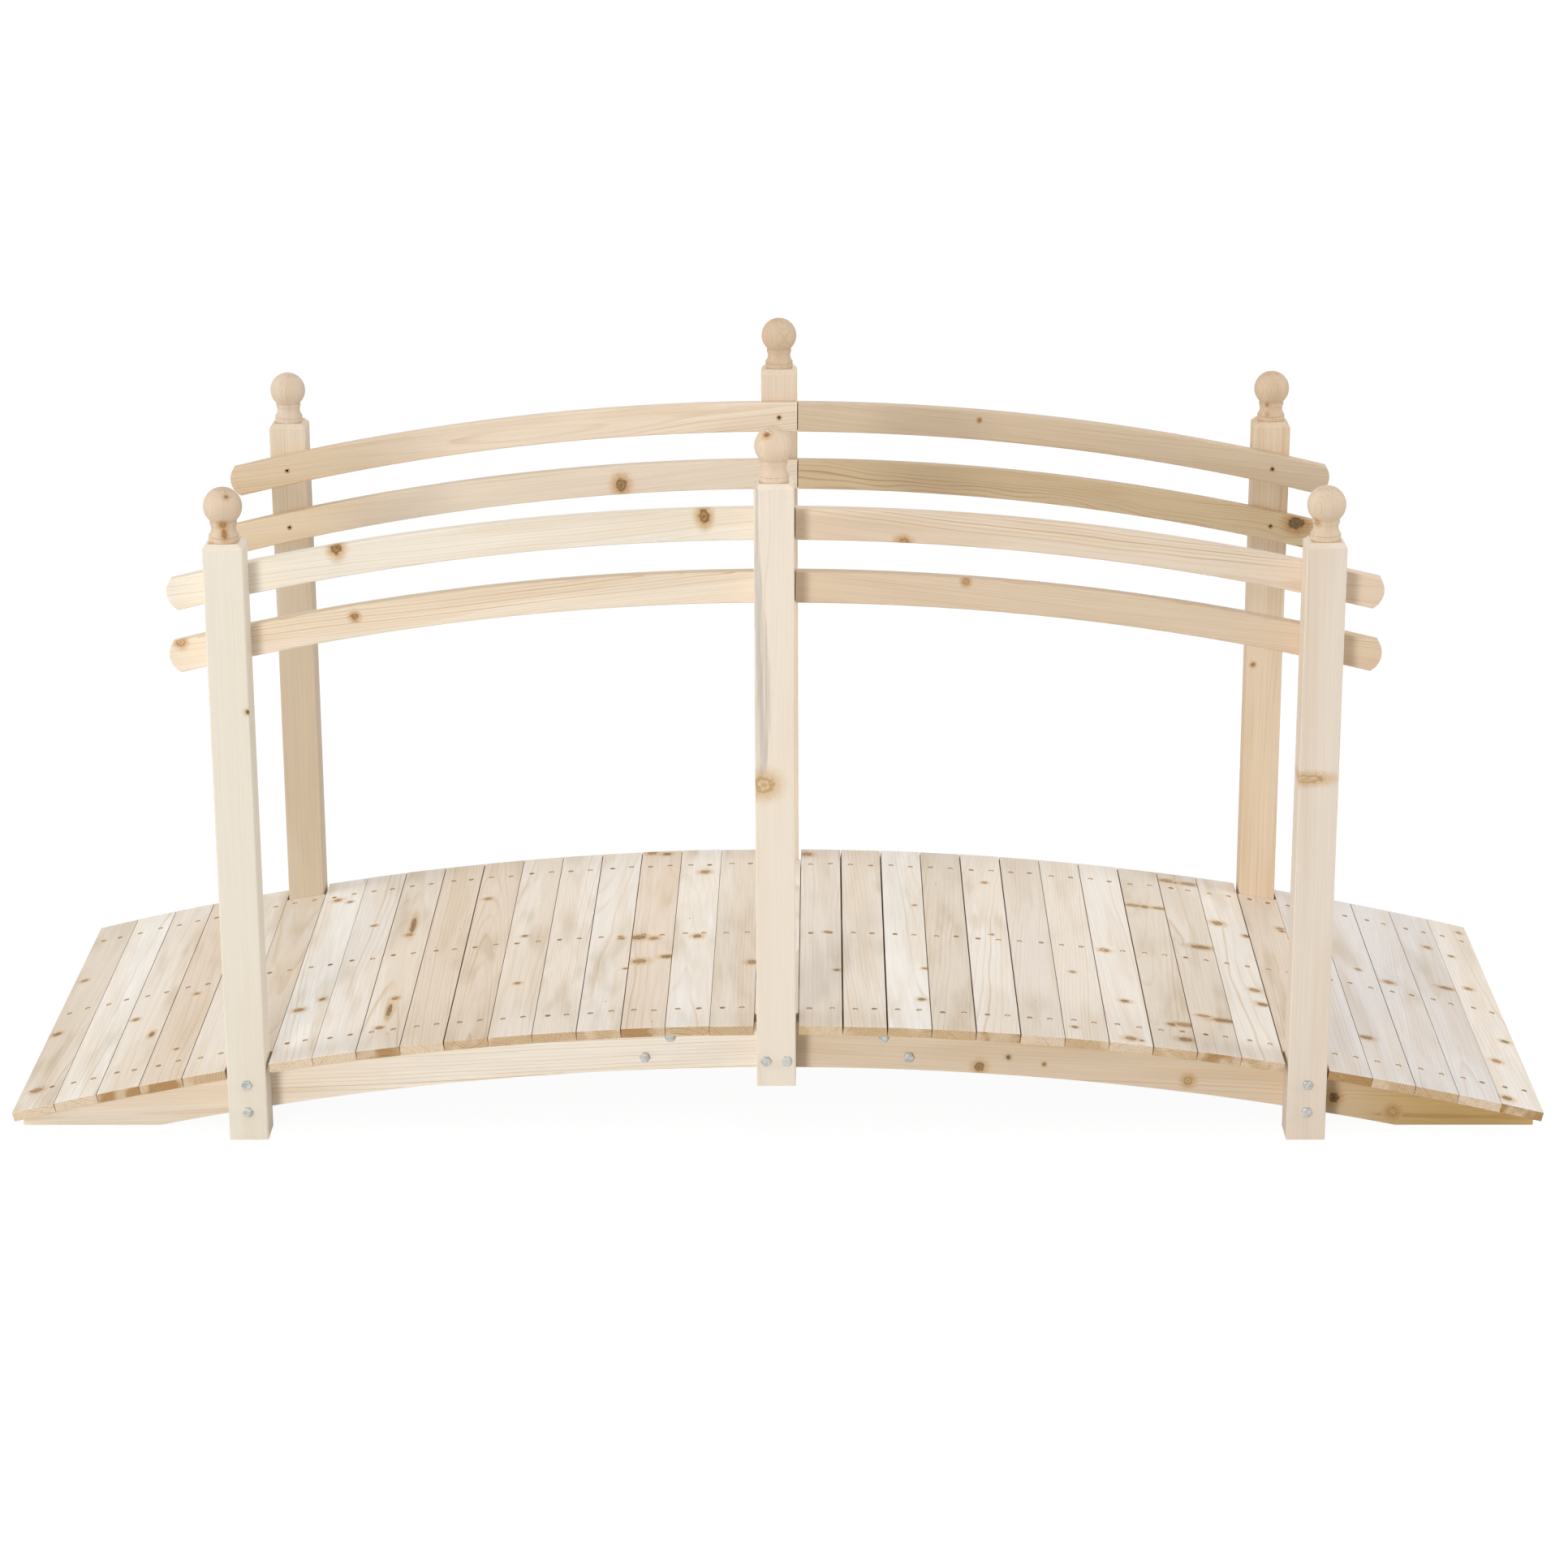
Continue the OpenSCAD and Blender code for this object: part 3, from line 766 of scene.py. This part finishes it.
def blue_stain(tree):
    """Grey streaks down the left of the front middle post's face, ragged along the grain."""
    here = add(tree, "ShaderNodeTexCoord").outputs["Object"]
    ragged = noise(tree, here, 220, 5, 3)[0]
    height = measured(tree, "Z")
    upper = between(tree, height, 0.7, 0.94, -0.006, -0.023)
    lower = between(tree, height, 0.4, 0.66, -0.035, -0.005)
    inside = maths(tree, "SUBTRACT", maths(tree, "MINIMUM", upper, lower), measured(tree, "X"))
    inside = maths(tree, "MULTIPLY_ADD", maths(tree, "SUBTRACT", ragged, 0.5), 0.016, inside)
    strip = between(tree, inside, -0.0015, 0.003)
    streaks = between(tree, ragged, 0.36, 0.62, 0.2, 1.0)
    return maths(tree, "MULTIPLY", strip, streaks)


for place_name, tone in post_tones.items():
    name = "post_" + place_name
    shades = [(blue_stain, colour(217, 219, 223))] if place_name == "front_mid" else []
    wood = fir_about(post_hearts[place_name], 0, name, tone, colour(226, 206, 176),
                     post_knots.get(place_name, ()), ring=0.0026,
                     contrast=post_contrasts[place_name], end_axis="Z", shades=shades)
    dress(name, wood)


# Finials. Balls turned from one block with a base ring, a hollow neck and a double bead, pegged
# into the posts' tops. The block's rings and knots show on them in rounds.
finial_height = 0.0765
ball_radius = 0.027
ball_middle = finial_height - ball_radius
cove_radius = 0.0138
cove_middle = 0.0186
cove_from_axis = 0.0312
cove_foot = 0.0092
cove_step = 0.0018
ball_foot_degrees = -47
ball_step_degrees = 6.15
# Each ring is its radius and its height: the base ring with its groove, the neck's cove, the
# double bead and the ball
turned_rings = [(0.0204, 0.0), (0.0212, 0.0008), (0.0214, 0.0058), (0.0209, 0.0066), (0.0203, 0.0071),
                (0.0209, 0.0077), (0.0213, 0.0085)]
for step in range(9):
    height = cove_foot + step * cove_step
    hollow = math.sqrt(cove_radius ** 2 - (height - cove_middle) ** 2)
    turned_rings.append((cove_from_axis - hollow, height))
turned_rings += [(0.0186, 0.0241), (0.019, 0.0248), (0.0191, 0.0257), (0.0188, 0.0264), (0.0184, 0.0267),
                 (0.0188, 0.0271), (0.0189, 0.0278), (0.0186, 0.0285), (0.0179, 0.0289)]
for step in range(22):
    angle = math.radians(ball_foot_degrees + step * ball_step_degrees)
    turned_rings.append((ball_radius * math.cos(angle), ball_middle + ball_radius * math.sin(angle)))

radius, height = turned_rings[0]
bpy.ops.mesh.primitive_circle_add(vertices=72, radius=radius, fill_type="NGON")
finial = bpy.context.object
finial.name = "finial"
bpy.ops.object.mode_set(mode="EDIT")
bpy.ops.mesh.select_all(action="SELECT")
for next_radius, next_height in turned_rings[1:]:
    bpy.ops.mesh.extrude_region_move(TRANSFORM_OT_translate={"value": (0, 0, next_height - height)})
    share = next_radius / radius
    bpy.ops.transform.resize(value=(share, share, 1))
    radius, height = next_radius, next_height
bpy.ops.mesh.select_all(action="SELECT")
bpy.ops.mesh.remove_doubles(threshold=0.00001)
bpy.ops.mesh.normals_make_consistent(inside=False)
bpy.ops.object.mode_set(mode="OBJECT")
bpy.ops.object.shade_smooth_by_angle(angle=math.radians(34))

finial_tones = {
    "front_left": colour(215, 193, 167), "front_mid": colour(225, 203, 178),
    "front_right": colour(224, 205, 182), "back_left": colour(218, 200, 178),
    "back_mid": colour(213, 190, 162), "back_right": colour(215, 191, 163),
}
finial_knots = {
    "front_left": [((-0.757, -0.390, 0.958), 0.003, colour(150, 128, 104), 1),
                   ((-0.764, -0.388, 0.917), 0.0042, colour(180, 134, 78), 1),
                   ((-0.762, -0.389, 0.905), 0.0068, colour(164, 116, 62), 0.5)],
    "front_mid": [((-0.009, -0.385, 1.042), 0.0042, colour(146, 108, 66), 1)],
    "front_right": [((0.750, -0.384, 0.917), 0.004, colour(206, 172, 128), 1)],
    "back_right": [((0.757, 0.352, 0.917), 0.0025, colour(170, 134, 92), 1),
                   ((0.757, 0.350, 0.903), 0.0025, colour(178, 142, 98), 1)],
}
for number, (place_name, tone) in enumerate(finial_tones.items()):
    low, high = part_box("post_" + place_name)
    axis = (low + high) / 2
    piece = copied(finial)
    piece.name = "turned_finial_" + place_name
    piece.data.transform(Matrix.Translation((axis.x, axis.y, high.z)))
    heart = (-axis.x + 0.03 - 0.011 * number, -axis.y + 0.035 - 0.008 * number, 2 * number)
    wood = fir_about(heart, 0, "finial_" + place_name, tone, tone, finial_knots.get(place_name, ()),
                     ring=0.0034, contrast=0.35, end_axis="Z")
    piece.data.materials.append(wood)
    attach(piece, "root")
    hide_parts("finial_" + place_name)
bpy.data.objects.remove(finial)


# Rails. Four curved rails, an upper and a lower one a side, each two halves sawn from straight
# planks and half lapped over the middle post. Their rings run along each half's chord.
rail_tones = {
    "upper_front_left": colour(241, 231, 214), "lower_front_left": colour(241, 225, 203),
    "upper_front_right": colour(231, 213, 191), "lower_front_right": colour(223, 201, 173),
    "upper_back_left": colour(236, 219, 197), "lower_back_left": colour(242, 226, 205),
    "upper_back_right": colour(211, 190, 162), "lower_back_right": colour(217, 194, 158),
}
amber_knot = colour(148, 106, 44)
rail_knots = {
    "upper_front_left": [((-0.098, -0.342, 0.917), 0.0065, amber_knot, 1.5),
                         ((-0.614, -0.342, 0.873), 0.007, amber_knot, 1.4)],
    "lower_front_left": [((-0.591, -0.342, 0.772), 0.0045, brown_knot, 1),
                         ((-0.838, -0.342, 0.735), 0.0055, pale_knot, 1)],
    "upper_front_right": [((0.18, -0.342, 0.878), 0.007, colour(196, 152, 100), 0.8)],
    "lower_front_right": [((0.268, -0.342, 0.822), 0.004, colour(200, 160, 112), 1)],
    "lower_back_left": [((-0.246, 0.322, 0.798), 0.008, brown_knot, 1.2)],
    "upper_back_right": [((0.31, 0.322, 0.9), 0.0025, brown_knot, 1)],
    "lower_back_right": [((0.806, 0.322, 0.735), 0.011, dark_knot, 0.8)],
}
rail_contrasts = {"upper_front_left": 0.4, "lower_front_left": 0.85, "upper_front_right": 0.9,
                  "lower_front_right": 0.95, "upper_back_left": 0.75, "lower_back_right": 1.4}
chord_tilts = {"left": 0.12, "right": -0.12}


def browner_end(tree):
    """The left ends of the back rails, where the wood is a little darker."""
    return between(tree, measured(tree, "X"), -0.75, -0.52, 1.0, 0.0)


for number, (place_name, tone) in enumerate(rail_tones.items()):
    name = "rail_" + place_name
    flat_sawn = place_name == "lower_back_right"
    turn = chord_tilts[place_name.split("_")[2]] - math.pi / 2
    heart = (0.86 + 0.013 * number, -0.3 if "back" in place_name else 0.37, 2.3 * number)
    if flat_sawn:
        heart = (0.74, -0.25, 16)
    shades = [(browner_end, colour(234, 227, 213))] if place_name.endswith("back_left") else []
    wood = fir_about(heart, turn, name, tone, sawn_tone, rail_knots.get(place_name, ()), ring=0.0034,
                     contrast=rail_contrasts.get(place_name, 0.6), shades=shades,
                     wander=0.07 if flat_sawn else 0.02, halo=colour(220, 186, 134))
    dress(name, wood)


# Rail screws. Countersunk screws, dull with age, driven from the walkway's side through the
# rails into the posts. Their heads lie almost flush with the rails' faces.
rail_radius = 3.56
rail_half_height = 0.0225
screw_steel = new_paint("screw_steel")
tree = screw_steel.node_tree
here = add(tree, "ShaderNodeTexCoord").outputs["Object"]
tarnish = noise(tree, here, 700, 700, 2)[0]
tint = mixed(tree, between(tree, tarnish, 0.35, 0.7), colour(186, 160, 116), colour(126, 102, 66))
surface(tree, {"Base Color": tint, "Metallic": 0.3,
               "Roughness": between(tree, tarnish, 0.3, 0.8, 0.35, 0.6)})
screw = round_head("screw", screw_steel, vertices=24, radius=0.0042, height=0.0004,
                   insets=[(0.0008, 0.0001), (0.0012, -0.0001), (0.0006, -0.0006)])

for row, way in (("front", 1), ("back", -1)):
    heads = []
    for post_name in ("left", "mid", "right"):
        low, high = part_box(f"post_{row}_{post_name}")
        across = (low.x + high.x) / 2
        drop = rail_radius - math.sqrt(rail_radius ** 2 - across ** 2)
        for level in ("upper", "lower"):
            rail_low, rail_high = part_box(f"rail_{level}_{row}_right")
            face = rail_high.y if way > 0 else rail_low.y
            height = rail_high.z - rail_half_height - drop
            head = copied(screw)
            head.data.transform(Matrix.Translation((across, face, height))
                                @ Matrix.Rotation(-way * math.pi / 2, 4, "X"))
            heads.append(head)
    screws = joined(heads)
    screws.name = "rail_screws_" + row
    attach(screws, "root")
bpy.data.objects.remove(screw)


# Bolts. Hexagon bolts with nuts and washers, two through each post and four through each splice
# board. Their zinc is bright but a little dull, with a fine grain.
zinc = new_paint("zinc")
tree = zinc.node_tree
here = add(tree, "ShaderNodeTexCoord").outputs["Object"]
grain = noise(tree, here, 1200, 1200, 3)[0]
spots = noise(tree, here, 160, 160, 1)[0]
tint = mixed(tree, between(tree, spots, 0.35, 0.7), colour(202, 203, 200), colour(170, 170, 167))
bump = add(tree, "ShaderNodeBump", {"Height": grain, "Strength": 0.3, "Distance": 0.0002})
surface(tree, {"Base Color": tint, "Metallic": 0.6, "Normal": bump.outputs[0],
               "Roughness": between(tree, grain, 0.3, 0.7, 0.28, 0.42)})
for name in ("bolts_posts_front", "bolts_posts_back", "bolts_splice_front", "bolts_splice_mid",
             "bolts_splice_back"):
    dress(name, zinc)

low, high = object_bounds()
